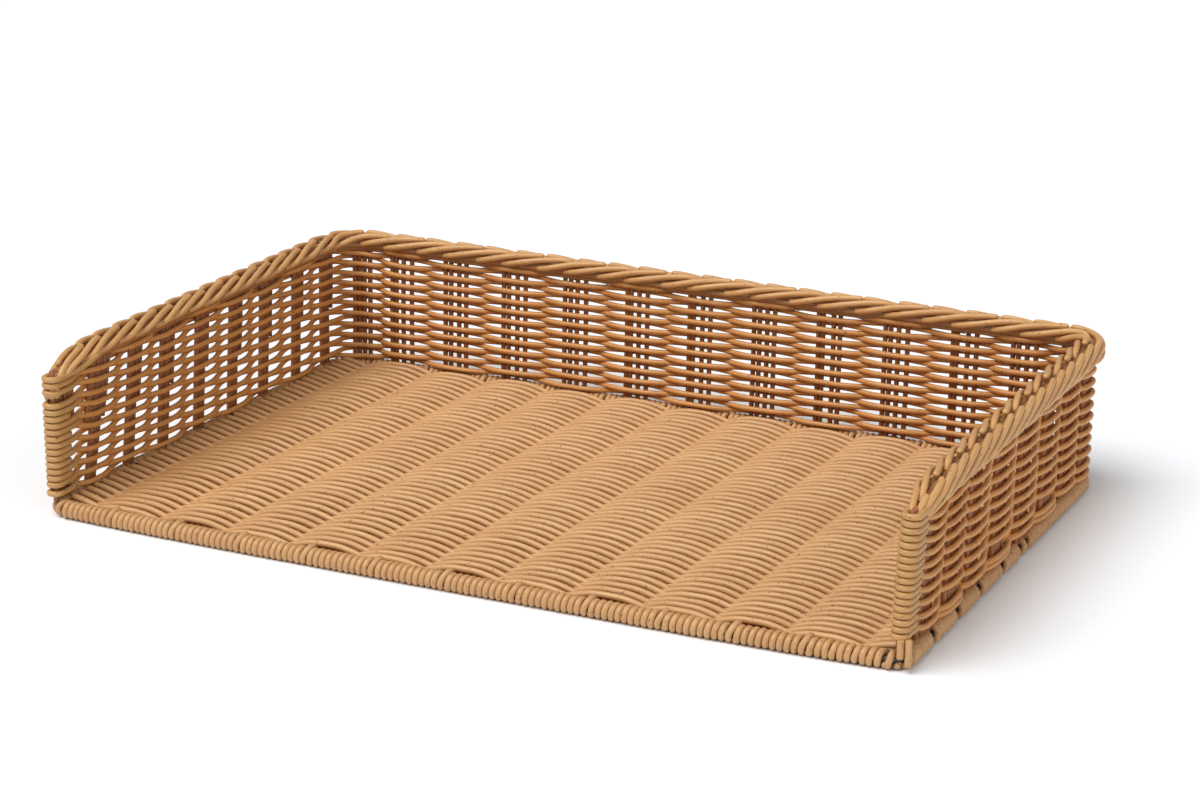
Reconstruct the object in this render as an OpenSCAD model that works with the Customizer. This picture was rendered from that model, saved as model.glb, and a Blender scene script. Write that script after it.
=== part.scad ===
// Bread display basket: a shallow woven tray with three walls and an open front.
// Rods stand in groups round a wrapped border, strands are twined through them in rows,
// and a thick rolled rim closes the top of the three walls.
// Origin: centre of the outside box, on the floor. +X to the right, +Y to the back, +Z up.
// Millimetres.

/* [Size] */
// Width over the base border, left to right
base_w = 604; // [404:50:804]
// Depth from the front border to the back of the rim
total_d = 403; // [303:50:553]
// Number of twined rows in each wall
wall_rows = 10; // [5:1:16]

/* [Strands and rods] */
// Diameter of the weaving strand
strand_d = 4.3; // [3.5:0.1:5]
// Diameter of the upright and base rods
rod_d = 3.8; // [3:0.1:4.2]
// Height of one twined row
row_pitch = 8.75; // [8.6:0.05:10]

/* [Stakes] */
// Distance between groups of rods in the back wall and the base
stake_pitch = 50; // [40:5:60]
// Distance between groups of rods in the side walls
side_pitch = 44; // [40:1:60]
// Rods in each group
rods_per_stake = 4; // [2:1:4]
// Distance between the rods of a group
rod_step = 4.8; // [4.4:0.1:5]

/* [Corners] */
// Plan radius of the back corners, at the middle of the wall
back_r = 25; // [20:1:35]
// Plan radius of the front corners of the border
front_r = 9; // [8:1:14]

/* [Rim] */
// How far the rim stands out past the wall, on each face
rim_over = 5; // [3:0.5:7]
// Height of the rim, top to bottom
rim_h = 20; // [18:1:26]
// Height of the rim above the top row
rim_cap = 10.1; // [9.1:0.5:12.1]

/* [Front posts] */
// Depth of each front post, front to back
post_l = 20.4; // [18:0.2:24]
// Rods in each front post
post_rods_n = 3; // [2:1:3]

/* [Hidden] */
$fn = 48;
tan_light = [0.80, 0.62, 0.40];
tan_mid = [0.74, 0.55, 0.34];
tan_deep = [0.62, 0.43, 0.25];
steel_grey = [0.55, 0.55, 0.57];

gap = 0.2;                                   // room between neighbouring pieces
border_d = 2 * strand_d + rod_d;             // wrapped border, square over its wraps
border_round = 4;                            // rounding of the border's edges
wall_t = border_d;                           // wall thickness over a group of rods
wall_x = base_w / 2 - wall_t / 2;            // middle of the side walls
rim_w = wall_t + 2 * rim_over;
wall_y = total_d / 2 - rim_w / 2;            // middle of the back wall
front_y = -total_d / 2 + border_d / 2;       // middle of the front border
wall_top = border_d + wall_rows * row_pitch; // top of the top row
total_h = wall_top + rim_cap;
rim_low = total_h - rim_h;                   // lower edge of the rim
rod_top = wall_top + 4.1;                    // the rods end inside the rim
rod_foot = border_d / 2 + rod_d / 2 + gap / 2; // they stand on the core ring
base_lift = 3.4;                             // the base rods lie above the core ring
base_z = border_d / 2 + base_lift;

slot_l = (rods_per_stake - 1) * rod_step + rod_d + gap; // room for one group of rods
slot_w = rod_d + gap;
flat_l = slot_l / 2 + 1;                     // half the length of a row's full thickness
waist = strand_d / 2 + 0.05;                 // half thickness where two strands cross

back_x = wall_x - back_r;                    // ends of the straight back wall
side_back = wall_y - back_r;                 // back end of the straight side wall
side_front = front_y + front_r;              // front end of the straight side border
post_y = -total_d / 2 + post_l / 2;          // middle of the front posts
post_back = post_y + post_l / 2 + gap / 2;   // the wall rows start here
post_slot = post_l - 2 * strand_d;
post_step = (post_slot - gap - rod_d) / (post_rods_n - 1);

stakes_x = centred(back_x - flat_l, stake_pitch);
stakes_y = centred(min(side_back, -post_back) - flat_l, side_pitch);

shoulder_l = 27;                             // length of the rim's rounded front end
shoulder_z = wall_top + 1.1;                 // its height at the very front
shoulder_y = -total_d / 2 + 3;               // where it starts
shoulder_end = shoulder_y + shoulder_l;
arc_steps = 10;

base_x = wall_x - border_d / 2 - gap / 2;    // ends of the base rows
base_front = front_y + border_d / 2 + gap / 2;
base_back = wall_y - border_d / 2 - gap / 2;
base_rows_n = floor((base_back - base_front) / row_pitch);
base_pitch = (base_back - base_front) / base_rows_n;

// As many evenly spaced places as fit within reach of the middle, on each side of it
function centred(reach, pitch) = let (spaces = floor(2 * reach / pitch))
    [for (i = [0:spaces]) (i - spaces / 2) * pitch];

// ---- helpers ----

// A section drawn as (across, up), run along X from x0 to x1
module along_x(x0, x1) {
    translate([x0, 0, 0]) rotate([90, 0, 90]) linear_extrude(x1 - x0) children();
}

// Work drawn along X, moved onto the back wall or the right wall
module on_back() { translate([0, wall_y, 0]) children(); }
module on_right() { translate([wall_x, 0, 0]) rotate([0, 0, 90]) children(); }
module on_front() { translate([0, front_y, 0]) children(); }

// A section turned through a quarter circle of plan radius r
module turned(r) { rotate_extrude(angle = 90) translate([r, 0]) children(); }
module on_back_corner() { translate([back_x, side_back, 0]) children(); }
module on_front_corner() {
    translate([wall_x - front_r, side_front, 0]) rotate([0, 0, -90]) children();
}

// The left side is the right side's mirror image
module on_left() { mirror([1, 0, 0]) children(); }

module rounded_rect(w, h, r) {
    square([w - 2 * r, h], center = true);
    square([w, h - 2 * r], center = true);
    for (sx = [-1, 1], sy = [-1, 1])
        translate([sx * (w / 2 - r), sy * (h / 2 - r)]) circle(r);
}

// ---- border: a core ring whipped with strand ----

module core_section() { translate([0, border_d / 2]) circle(d = rod_d); }

module border_section() {
    translate([0, border_d / 2]) difference() {
        rounded_rect(border_d, border_d, border_round);
        circle(d = rod_d + gap);
    }
}

// Sockets for upright rods, from the core ring up, along X
module upright_sockets(places) {
    for (c = places)
        translate([c - slot_l / 2, -slot_w / 2, rod_foot - gap / 2]) cube([slot_l, slot_w, border_d]);
}

// Sockets for the base rods' ends; side is +1 where the base lies towards +Y
module base_sockets(side) {
    for (c = stakes_x)
        translate([c, side * border_d / 2, base_z])
            cube([slot_l, 2 * (border_d / 2 - rod_d / 2), slot_w], center = true);
}

module half_core() {
    on_front() along_x(0, wall_x - front_r) core_section();
    on_front_corner() turned(front_r) core_section();
    on_right() along_x(side_front, side_back) core_section();
    on_back_corner() turned(back_r) core_section();
    on_back() along_x(0, back_x) core_section();
}

module core_ring() {
    color(steel_grey) { half_core(); on_left() half_core(); }
}

module border_wrap_front() {
    color(tan_light) on_front() difference() {
        along_x(-wall_x + front_r, wall_x - front_r) border_section();
        base_sockets(1);
    }
}

module border_wrap_back() {
    color(tan_mid) on_back() difference() {
        along_x(-back_x, back_x) border_section();
        base_sockets(-1);
        upright_sockets(stakes_x);
    }
}

module border_wrap_side() {
    color(tan_mid) on_right() difference() {
        along_x(side_front, side_back) border_section();
        upright_sockets(stakes_y);
    }
}

module border_wrap_left() { on_left() border_wrap_side(); }
module border_wrap_right() { border_wrap_side(); }

module border_corner_front() {
    color(tan_light) difference() {
        on_front_corner() turned(front_r) border_section();
        translate([wall_x - slot_w / 2, post_y - post_slot / 2, rod_foot - gap / 2])
            cube([slot_w, post_slot, border_d]);
    }
}

module border_corner_front_left() { on_left() border_corner_front(); }
module border_corner_front_right() { border_corner_front(); }

module border_corner_back() {
    color(tan_mid) difference() {
        on_back_corner() turned(back_r) border_section();
        on_back_corner() corner_slot(rod_foot - gap / 2, border_d);
    }
}

module border_corner_back_left() { on_left() border_corner_back(); }
module border_corner_back_right() { border_corner_back(); }

// ---- base ----

module base_rods() {
    color(tan_deep)
        for (c = stakes_x, i = [0:rods_per_stake - 1])
            translate([c + rod_offset(i), front_y + rod_d / 2 + gap, base_z]) rotate([-90, 0, 0])
                cylinder(d = rod_d, h = wall_y - front_y - rod_d - 2 * gap);
}

// Place of rod i from the middle of its group
function rod_offset(i) = (i - (rods_per_stake - 1) / 2) * rod_step;

// Outline of a twined row along X: full thickness round each group, a waist in between
module row_outline(x0, x1, places) {
    last = places[len(places) - 1];
    half_way = (places[1] - places[0]) / 2;
    end_t = waist + 1.5;
    edge = [[x0, end_t],
            for (c = places) each [[c - flat_l, wall_t / 2], [c + flat_l, wall_t / 2],
                                   if (c < last) [c + half_way, waist]],
            [x1, end_t]];
    difference() {
        polygon(concat(edge, [for (i = [len(edge) - 1:-1:0]) [edge[i].x, -edge[i].y]]));
        for (c = places) translate([c, 0]) square([slot_l, slot_w], center = true);
    }
}

module base_rows() {
    color(tan_light)
        for (i = [0:base_rows_n - 1])
            translate([0, base_front + (i + 1) * base_pitch, base_z]) rotate([90, 0, 0])
                linear_extrude(base_pitch - gap) row_outline(-base_x, base_x, stakes_x);
}

// ---- walls ----

module uprights(places) {
    for (c = places, i = [0:rods_per_stake - 1])
        translate([c + rod_offset(i), 0, rod_foot]) cylinder(d = rod_d, h = rod_top - rod_foot);
}

module wall_rods_back() { color(tan_deep) on_back() uprights(stakes_x); }
module wall_rods_side() { color(tan_deep) on_right() uprights(stakes_y); }
module wall_rods_left() { on_left() wall_rods_side(); }
module wall_rods_right() { wall_rods_side(); }

// Angle along a back corner of one rod step
corner_step = rod_step / back_r * 180 / PI;
corner_slot_a = (rods_per_stake - 1) * corner_step + (rod_d + 2) / back_r * 180 / PI;

module corner_slot(z, h) {
    translate([0, 0, z]) rotate([0, 0, 45 - corner_slot_a / 2])
        rotate_extrude(angle = corner_slot_a) translate([back_r - slot_w / 2, 0]) square([slot_w, h]);
}

module corner_rods() {
    color(tan_deep) on_back_corner()
        for (i = [0:rods_per_stake - 1])
            rotate([0, 0, 45 + (i - (rods_per_stake - 1) / 2) * corner_step])
                translate([back_r, 0, rod_foot]) cylinder(d = rod_d, h = rod_top - rod_foot);
}

module corner_rods_left() { on_left() corner_rods(); }
module corner_rods_right() { corner_rods(); }

// One copy of a row at each row's height
module stacked() {
    for (i = [0:wall_rows - 1]) translate([0, 0, border_d + gap / 2 + i * row_pitch]) children();
}

module wall_rows_back() {
    color(tan_mid) on_back() stacked()
        linear_extrude(row_pitch - gap) row_outline(-back_x, back_x, stakes_x);
}

module wall_rows_side() {
    color(tan_mid) on_right() stacked()
        linear_extrude(row_pitch - gap) row_outline(post_back, side_back, stakes_y);
}

module wall_rows_left() { on_left() wall_rows_side(); }
module wall_rows_right() { wall_rows_side(); }

module corner_rows() {
    color(tan_mid) on_back_corner() stacked() difference() {
        turned(back_r) translate([-wall_t / 2, 0]) square([wall_t, row_pitch - gap]);
        corner_slot(-1, row_pitch + 2);
    }
}

module corner_rows_left() { on_left() corner_rows(); }
module corner_rows_right() { corner_rows(); }

// ---- front posts ----

module post_rods() {
    color(tan_deep)
        for (i = [0:post_rods_n - 1])
            translate([wall_x, post_y + (i - (post_rods_n - 1) / 2) * post_step, rod_foot])
                cylinder(d = rod_d, h = wall_top - rod_foot);
}

module post_rods_left() { on_left() post_rods(); }
module post_rods_right() { post_rods(); }

// The rows' strands turn round the post, two turns to a row
module post_wraps() {
    color(tan_light)
        for (i = [0:2 * wall_rows - 1])
            translate([wall_x, post_y, border_d + gap / 2 + i * row_pitch / 2])
                linear_extrude(row_pitch / 2 - gap) difference() {
                    rounded_rect(wall_t, post_l, strand_d);
                    square([slot_w, post_slot], center = true);
                }
}

module post_wraps_left() { on_left() post_wraps(); }
module post_wraps_right() { post_wraps(); }

// ---- rim: a rolled braid that sits over the top row ----

module rim_section() {
    difference() {
        translate([0, total_h - rim_h / 2]) rounded_rect(rim_w, rim_h, 4.5);
        translate([-wall_t / 2 - gap / 2, rim_low - 1])
            square([wall_t + gap, wall_top + gap / 2 - rim_low + 1]);
    }
}

// Sockets in the rim for the tops of the rods
module rim_sockets(places) {
    for (c = places)
        translate([c - slot_l / 2, -slot_w / 2, wall_top]) cube([slot_l, slot_w, rod_top - wall_top + gap]);
}

module rim_back() {
    color(tan_light) on_back() difference() {
        along_x(-back_x, back_x) rim_section();
        rim_sockets(stakes_x);
    }
}

module rim_side() {
    color(tan_light) on_right() difference() {
        along_x(shoulder_end, side_back) rim_section();
        rim_sockets(stakes_y);
    }
}

module rim_left() { on_left() rim_side(); }
module rim_right() { rim_side(); }

module rim_corner() {
    color(tan_light) on_back_corner() difference() {
        turned(back_r) rim_section();
        corner_slot(wall_top, rod_top - wall_top + gap);
    }
}

module rim_corner_left() { on_left() rim_corner(); }
module rim_corner_right() { rim_corner(); }

// Side outline of the rim's front end: it rises in a quarter of an ellipse
function shoulder() = [[shoulder_y, rim_low],
    for (i = [0:arc_steps]) let (a = 90 * i / arc_steps)
        [shoulder_end - shoulder_l * cos(a), shoulder_z + (total_h - shoulder_z) * sin(a)],
    [shoulder_end, rim_low]];

module rim_end() {
    color(tan_light) on_right() intersection() {
        along_x(shoulder_y, shoulder_end) rim_section();
        translate([0, rim_w, 0]) rotate([90, 0, 0]) linear_extrude(2 * rim_w) polygon(shoulder());
    }
}

module rim_end_left() { on_left() rim_end(); }
module rim_end_right() { rim_end(); }

// ---- assembly ----

core_ring();
border_wrap_front();
border_wrap_back();
border_wrap_left();
border_wrap_right();
border_corner_front_left();
border_corner_front_right();
border_corner_back_left();
border_corner_back_right();
base_rods();
base_rows();
wall_rods_back();
wall_rods_left();
wall_rods_right();
corner_rods_left();
corner_rods_right();
wall_rows_back();
wall_rows_left();
wall_rows_right();
corner_rows_left();
corner_rows_right();
post_rods_left();
post_rods_right();
post_wraps_left();
post_wraps_right();
rim_back();
rim_left();
rim_right();
rim_corner_left();
rim_corner_right();
rim_end_left();
rim_end_right();
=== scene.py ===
"""The looks of the bread basket. Every strand, rod and wrap of the weave is its own round strand.

The walls and the base are plain woven: each strand passes the groups of rods on alternate sides, and its
neighbours do the opposite. The wall's strands fold back in pairs round the two front posts.
Lengths are in millimetres and heights are above the floor, until a mesh is made.
"""

import math

import bpy
import numpy as np
from mathutils import Matrix, Vector


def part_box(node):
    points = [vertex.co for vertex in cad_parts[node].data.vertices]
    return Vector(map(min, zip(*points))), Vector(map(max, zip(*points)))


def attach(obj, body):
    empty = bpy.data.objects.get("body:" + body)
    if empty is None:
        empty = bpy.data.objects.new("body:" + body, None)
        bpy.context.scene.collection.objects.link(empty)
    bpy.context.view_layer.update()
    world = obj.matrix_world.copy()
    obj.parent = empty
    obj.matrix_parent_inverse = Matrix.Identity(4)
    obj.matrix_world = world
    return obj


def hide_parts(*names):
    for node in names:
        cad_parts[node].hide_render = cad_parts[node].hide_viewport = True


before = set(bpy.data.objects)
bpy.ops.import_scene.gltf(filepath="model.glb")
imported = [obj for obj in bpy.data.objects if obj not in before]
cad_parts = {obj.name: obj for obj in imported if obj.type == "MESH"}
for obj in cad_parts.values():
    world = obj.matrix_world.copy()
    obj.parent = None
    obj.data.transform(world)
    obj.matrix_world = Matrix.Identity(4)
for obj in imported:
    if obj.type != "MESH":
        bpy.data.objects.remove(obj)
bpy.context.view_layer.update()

MM = 0.001
FULL_TURN = 2 * math.pi
HALF_TURN = math.pi
QUARTER = math.pi / 2


# ---- small maths ----


def smooth(t):
    """0 below 0, 1 above 1, and a soft step between."""
    t = np.clip(t, 0, 1)
    return t * t * (3 - 2 * t)


def wander(s, size, wave, rng):
    """A slow random drift along a strand."""
    total = np.zeros_like(s)
    for share in (1.0, 0.61, 0.37):
        total += np.sin(FULL_TURN * s / (wave * share) + rng.uniform(0, FULL_TURN)) * share
    return total * size / 1.5


def woven(s, stations, starts_out, flat, reach):
    """How far out a strand is at the distances s, when it passes the stations on alternate sides.

    flat is how far it stays straight on each side of a station, and reach how far out it is there.
    """
    i = np.clip(np.searchsorted(stations, s) - 1, 0, len(stations) - 2)
    a, b = stations[i], stations[i + 1]
    near_b = s > (a + b) / 2
    from_station = np.where(near_b, b - s, s - a)
    side = np.where((i + near_b) % 2 == 0, 1.0, -1.0) * (1 if starts_out else -1)
    across = np.clip((from_station - flat) / ((b - a) / 2 - flat), 0, 1)
    return side * reach * np.cos(QUARTER * across)


# ---- sizes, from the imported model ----


def span(node):
    """Lowest and highest corner of a CAD node, in millimetres."""
    low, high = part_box(node)
    return np.array(low) / MM, np.array(high) / MM


core_low, core_high = span("core_ring")
ROD = core_high[2] - core_low[2]  # its diameter
BORDER = span("border_wrap_front")[1][2]  # its height
STRAND = (BORDER - ROD) / 2  # its diameter
R = STRAND / 2
REACH = (ROD + STRAND) / 2  # from the middle of a rod to the middle of a strand against it
WALL_X = core_high[0] - ROD / 2  # the middle of the right wall's thickness
WALL_Y = core_high[1] - ROD / 2  # of the back wall's
FRONT_Y = core_low[1] + ROD / 2  # and of the front border's
BORDER_Z = BORDER / 2
FRONT_R = WALL_X - span("border_wrap_front")[1][0]  # of the front corners, in plan
BACK_X = span("wall_rows_back")[1][0]  # where the back corners start
BACK_R = WALL_X - BACK_X
SIDE_BACK = WALL_Y - BACK_R  # where the sides end
SIDE_FRONT = FRONT_Y + FRONT_R  # and where they start
WALL_TOP = span("post_rods_right")[1][2]

post_low, post_high = span("post_rods_right")
POST_Y = (post_low[1] + post_high[1]) / 2
POST_STEP = (post_high[1] - post_low[1] - ROD) / 2  # between a post's three rods

base_low, base_high = span("base_rods")
BASE_Z = (base_low[2] + base_high[2]) / 2
rows_low, rows_high = span("base_rows")
BASE_ROWS = 42  # double rows
BASE_PITCH = (rows_high[1] - rows_low[1]) / BASE_ROWS
BASE_X = rows_high[0]

ROD_STEP = 4.8  # between the rods of a group
GROUP_HALF = 1.5 * ROD_STEP + ROD / 2  # half the width of a group of four


def group_places(node, axis, count):
    """Middles of the evenly spaced groups of rods in a CAD node."""
    low, high = span(node)
    return np.linspace(low[axis] + GROUP_HALF, high[axis] - GROUP_HALF, count)


STAKES_X = group_places("wall_rods_back", 0, 11)
STAKES_Y = group_places("wall_rods_right", 1, 8)
ROD_FOOT = span("wall_rods_right")[0][2]
ROD_TOP = span("wall_rods_right")[1][2]

rim_low, rim_high = span("rim_right")
RIM_Z = (rim_low[2] + rim_high[2]) / 2
RIM_A = (rim_high[0] - WALL_X) - R
RIM_B = (rim_high[2] - rim_low[2]) / 2 - R


# ---- the path round the three walls ----

SIDE_L = SIDE_BACK - POST_Y
CORNER_L = BACK_R * QUARTER
TOTAL = 2 * (SIDE_L + CORNER_L + BACK_X)


def right_half(s):
    """Distances from the nearer post, and +1 on the right half of the path or -1 on the left."""
    s = np.asarray(s, float)
    return np.minimum(s, TOTAL - s), np.where(s > TOTAL / 2, -1.0, 1.0)


def wall_frame(s):
    """Plan point and outward direction at distance s from the right post, round the back to the left post."""
    u, side = right_half(s)
    angle = np.clip((u - SIDE_L) / BACK_R, 0, QUARTER)
    x = BACK_X + BACK_R * np.cos(angle) - np.clip(u - SIDE_L - CORNER_L, 0, None)
    x = np.where(u < SIDE_L, WALL_X, x)
    y = POST_Y + np.minimum(u, SIDE_L) + BACK_R * np.sin(angle)
    return np.stack([x * side, y], -1), np.stack([np.cos(angle) * side, np.sin(angle)], -1)


POST_LEAN = 3.5  # the right post's foot stands this far inwards
UPRIGHT_AT = 65.0  # and the post is in its right place at this height
LEAN_LENGTH = 45.0  # the wall leans with it over this length


def lean_in(s, z):
    """How far the wall stands inwards where the right post leans."""
    return POST_LEAN * (1 - z / UPRIGHT_AT) * smooth(1 - s / LEAN_LENGTH)


def on_wall(s, out, z):
    """Points at distance s along the wall, out from its middle, at height z."""
    s, out, z = np.broadcast_arrays(np.asarray(s, float), out, z)
    point, outward = wall_frame(s)
    return np.column_stack([point + outward * (out - lean_in(s, z))[:, None], z])


# How far the hand-set groups stand from their even places, towards the back, from the front group on, and
# how far they lean back for each millimetre of height. The last three are the corner and the back's next two.
RIGHT_DRIFT = np.array([-1, -3, -7, 0, 7, 12, 14, 13, 12, 6, 0])
RIGHT_LEAN = np.array([0.15, 0.04, 0, 0, 0, 0, 0, 0, 0, 0, 0])
LEFT_DRIFT = np.array([9, 8, 6.5, 8, 9, 8, 10, 9, 12, 5, 1])
LEFT_LEAN = np.array([0.22, 0.13, 0.09, 0.07, 0.07, 0.05, 0.03, 0, 0, 0, 0])
LEAN_FROM = 55.0  # the height where they stand in those places


def wall_stations(z):
    """Where the wall's groups of rods stand along the path at height z, the posts included."""
    back = SIDE_L + CORNER_L + BACK_X - STAKES_X[::-1]
    even = np.array([*(STAKES_Y - POST_Y), SIDE_L + CORNER_L / 2, *back[:2]])
    right = even + RIGHT_DRIFT + RIGHT_LEAN * (z - LEAN_FROM)
    left = even + LEFT_DRIFT + LEFT_LEAN * (z - LEAN_FROM)
    return np.array([0, *right, *back[2:-2], *(TOTAL - left[::-1]), TOTAL])


# ---- strands gathered into one mesh ----


FIBRE_APART = 3000  # strands take their streaks from places up to this far apart


def end_rings(kind, radius):
    """How far past the end each closing ring lies, and its radius."""
    if kind == "round":
        angles = np.radians([28, 54, 76])
        return radius * np.sin(angles), radius * np.cos(angles)
    return np.array([0.12, 0.3]), np.array([radius - 0.12, radius - 0.45])


class Weave:
    """Gathers round strands, then makes one mesh piece of them."""

    def __init__(self, sides=8, seed=1):
        self.sides = sides
        self.rng = np.random.default_rng(seed)
        self.points = []
        self.fibres = []
        self.tints = []
        self.faces = []
        self.count = 0

    def add(self, line, radius=R, start="cut", end="cut"):
        """A strand along the line's points, with cut or round ends."""
        line = np.asarray(line, float)
        radii = np.full(len(line), radius) if np.isscalar(radius) else np.asarray(radius, float)
        head = (line[0] - line[1]) / np.linalg.norm(line[0] - line[1])
        tail = (line[-1] - line[-2]) / np.linalg.norm(line[-1] - line[-2])
        off0, rad0 = end_rings(start, radii[0])
        off1, rad1 = end_rings(end, radii[-1])
        line = np.vstack([line[0] + off0[::-1, None] * head, line, line[-1] + off1[:, None] * tail])
        radii = np.concatenate([rad0[::-1], radii, rad1])
        self._sweep(line, radii)

    def _sweep(self, line, radii):
        """Rings of points round the line, with each point's place in the strand and the strand's tint."""
        tint = self.rng.random()
        tangent = np.gradient(line, axis=0)
        tangent /= np.linalg.norm(tangent, axis=1)[:, None]
        normal = np.cross(tangent[0], np.eye(3)[np.argmin(np.abs(tangent[0]))])
        normals = np.empty_like(line)
        for i, t in enumerate(tangent):
            normal = normal - t * (normal @ t)
            normal = normal / math.sqrt(normal @ normal)
            normals[i] = normal
        binormals = np.cross(tangent, normals)
        angle = np.arange(self.sides) * FULL_TURN / self.sides
        ring = (
            np.cos(angle)[None, :, None] * normals[:, None, :]
            + np.sin(angle)[None, :, None] * binormals[:, None, :]
        )
        points = line[:, None, :] + ring * radii[:, None, None]
        along = np.concatenate([[0], np.cumsum(np.linalg.norm(np.diff(line, axis=0), axis=1))])
        fibre = np.empty_like(points)
        fibre[..., 0] = (along + self.rng.uniform(0, FIBRE_APART))[:, None]
        fibre[..., 1] = radii[:, None] * np.cos(angle)
        fibre[..., 2] = radii[:, None] * np.sin(angle)
        self.points.append(points.reshape(-1, 3))
        self.fibres.append(fibre.reshape(-1, 3))
        self.tints.append(np.full(points.shape[0] * self.sides, tint))
        self._faces(len(line))

    def _faces(self, rings):
        """Quads between the rings, and a flat face at each end."""
        n = self.sides
        base = self.count + np.arange(rings - 1)[:, None] * n
        j = np.arange(n)
        k = (j + 1) % n
        quads = np.stack([base + j, base + k, base + n + k, base + n + j], -1).reshape(-1, 4)
        self.faces.extend(quads.tolist())
        self.faces.append((self.count + j[::-1]).tolist())
        self.faces.append((self.count + (rings - 1) * n + j).tolist())
        self.count += rings * n

    def piece(self, name, material, slot, *nodes):
        """Makes the mesh, in place of the named CAD nodes."""
        mesh = bpy.data.meshes.new(name)
        mesh.from_pydata(np.concatenate(self.points) * MM, [], self.faces)
        mesh.shade_smooth()
        tints = mesh.attributes.new("tint", "FLOAT", "POINT")
        tints.data.foreach_set("value", np.concatenate(self.tints).astype(np.float32))
        fibres = mesh.attributes.new("fibre", "FLOAT_VECTOR", "POINT")
        fibres.data.foreach_set("vector", np.concatenate(self.fibres).astype(np.float32).ravel())
        mesh.materials.append(material)
        made = bpy.data.objects.new(name, mesh)
        bpy.context.scene.collection.objects.link(made)
        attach(made, "root")
        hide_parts(*nodes)
        return made


# ---- materials ----


class Shader:
    """A material's nodes, made one call at a time."""

    def __init__(self, name):
        self.material = bpy.data.materials.new(name)
        self.material.use_nodes = True
        self.tree = self.material.node_tree
        self.surface = self.tree.nodes["Principled BSDF"]

    def node(self, kind, **inputs):
        """A new node, with its inputs set or joined."""
        made = self.tree.nodes.new(kind)
        for name, value in inputs.items():
            self.join(value, made.inputs[name.replace("_", " ")])
        return made

    def join(self, value, socket):
        """Links an output to the socket, or sets a constant on it."""
        if isinstance(value, bpy.types.NodeSocket):
            self.tree.links.new(value, socket)
        else:
            socket.default_value = value

    def attribute(self, name):
        """A node that reads one of the values kept with a mesh's points."""
        made = self.tree.nodes.new("ShaderNodeAttribute")
        made.attribute_name = name
        return made

    def stretched(self, vector, scale):
        """The vector with its three parts scaled."""
        made = self.tree.nodes.new("ShaderNodeVectorMath")
        made.operation = "MULTIPLY"
        self.join(vector, made.inputs[0])
        made.inputs[1].default_value = scale
        return made.outputs[0]

    def noise(self, vector, detail=2.0, roughness=0.5):
        """Soft noise from 0 to 1, one cell per unit of the vector."""
        made = self.node("ShaderNodeTexNoise", Vector=vector, Scale=1.0, Detail=detail, Roughness=roughness)
        return made.outputs["Fac"]

    def span(self, value, low, high, to_low=0.0, to_high=1.0):
        """The value, carried from one range to another and held inside it."""
        made = self.node("ShaderNodeMapRange", Value=value)
        made.inputs["From Min"].default_value = low
        made.inputs["From Max"].default_value = high
        made.inputs["To Min"].default_value = to_low
        made.inputs["To Max"].default_value = to_high
        return made.outputs["Result"]

    def mix(self, fac, a, b):
        """Colour a where fac is 0, and colour b where it is 1."""
        made = self.tree.nodes.new("ShaderNodeMix")
        made.data_type = "RGBA"
        self.join(fac, made.inputs[0])
        self.join(a, made.inputs[6])
        self.join(b, made.inputs[7])
        return made.outputs[2]

    def bump(self, height, strength, distance):
        """Small relief, distance metres deep."""
        made = self.node("ShaderNodeBump", Height=height, Strength=strength, Distance=distance)
        self.join(made.outputs["Normal"], self.surface.inputs["Normal"])


FLECK = (0.06, 0.025, 0.012, 1.0)
FLECKS_FROM = 0.70  # noise above this makes a dark fleck
POST_COLOUR_TO, WALL_COLOUR_FROM = -0.186, -0.160  # in metres from front to back


def post_mix(shader, at_post, in_wall):
    """One colour on the front posts, which fades into another along the side walls, whose deeper orange is
    painted warm shade.
    """
    place = shader.node("ShaderNodeTexCoord").outputs["Object"]
    back = shader.node("ShaderNodeSeparateXYZ", Vector=place).outputs["Y"]
    return shader.mix(shader.span(back, POST_COLOUR_TO, WALL_COLOUR_FROM), at_post, in_wall)


def strand_material(name, pale, rosy, deep, at_posts=None):
    """Extruded plastic strand: drawn streaks along it, strands of slightly different tan, and dark flecks.

    at_posts has a pale and a rosy colour for the strands' stretches round the front posts.
    """
    shader = Shader(name)
    fibre = shader.attribute("fibre").outputs["Vector"]
    tint = shader.attribute("tint").outputs["Fac"]
    streaks = shader.noise(shader.stretched(fibre, (0.035, 1.1, 1.1)), 3.0, 0.6)
    clouds = shader.noise(shader.stretched(fibre, (0.06, 0.25, 0.25)), 2.0)
    flecks = shader.noise(shader.stretched(fibre, (0.42, 0.95, 0.95)), 1.0, 0.4)
    if at_posts:
        pale = post_mix(shader, at_posts[0], pale)
        rosy = post_mix(shader, at_posts[1], rosy)
    colour = shader.mix(shader.span(tint, 0.0, 1.0, 0.05, 0.75), pale, rosy)
    colour = shader.mix(shader.span(clouds, 0.40, 0.72, 0.0, 0.55), colour, rosy)
    colour = shader.mix(shader.span(streaks, 0.48, 0.80, 0.0, 0.65), colour, deep)
    colour = shader.mix(shader.span(flecks, FLECKS_FROM, FLECKS_FROM + 0.04, 0.0, 0.8), colour, FLECK)
    shader.join(colour, shader.surface.inputs["Base Color"])
    shader.join(shader.span(streaks, 0.3, 0.8, 0.34, 0.52), shader.surface.inputs["Roughness"])
    shader.surface.inputs["Specular IOR Level"].default_value = 0.5
    shader.bump(streaks, 0.35, 0.00018)
    return shader.material


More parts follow.
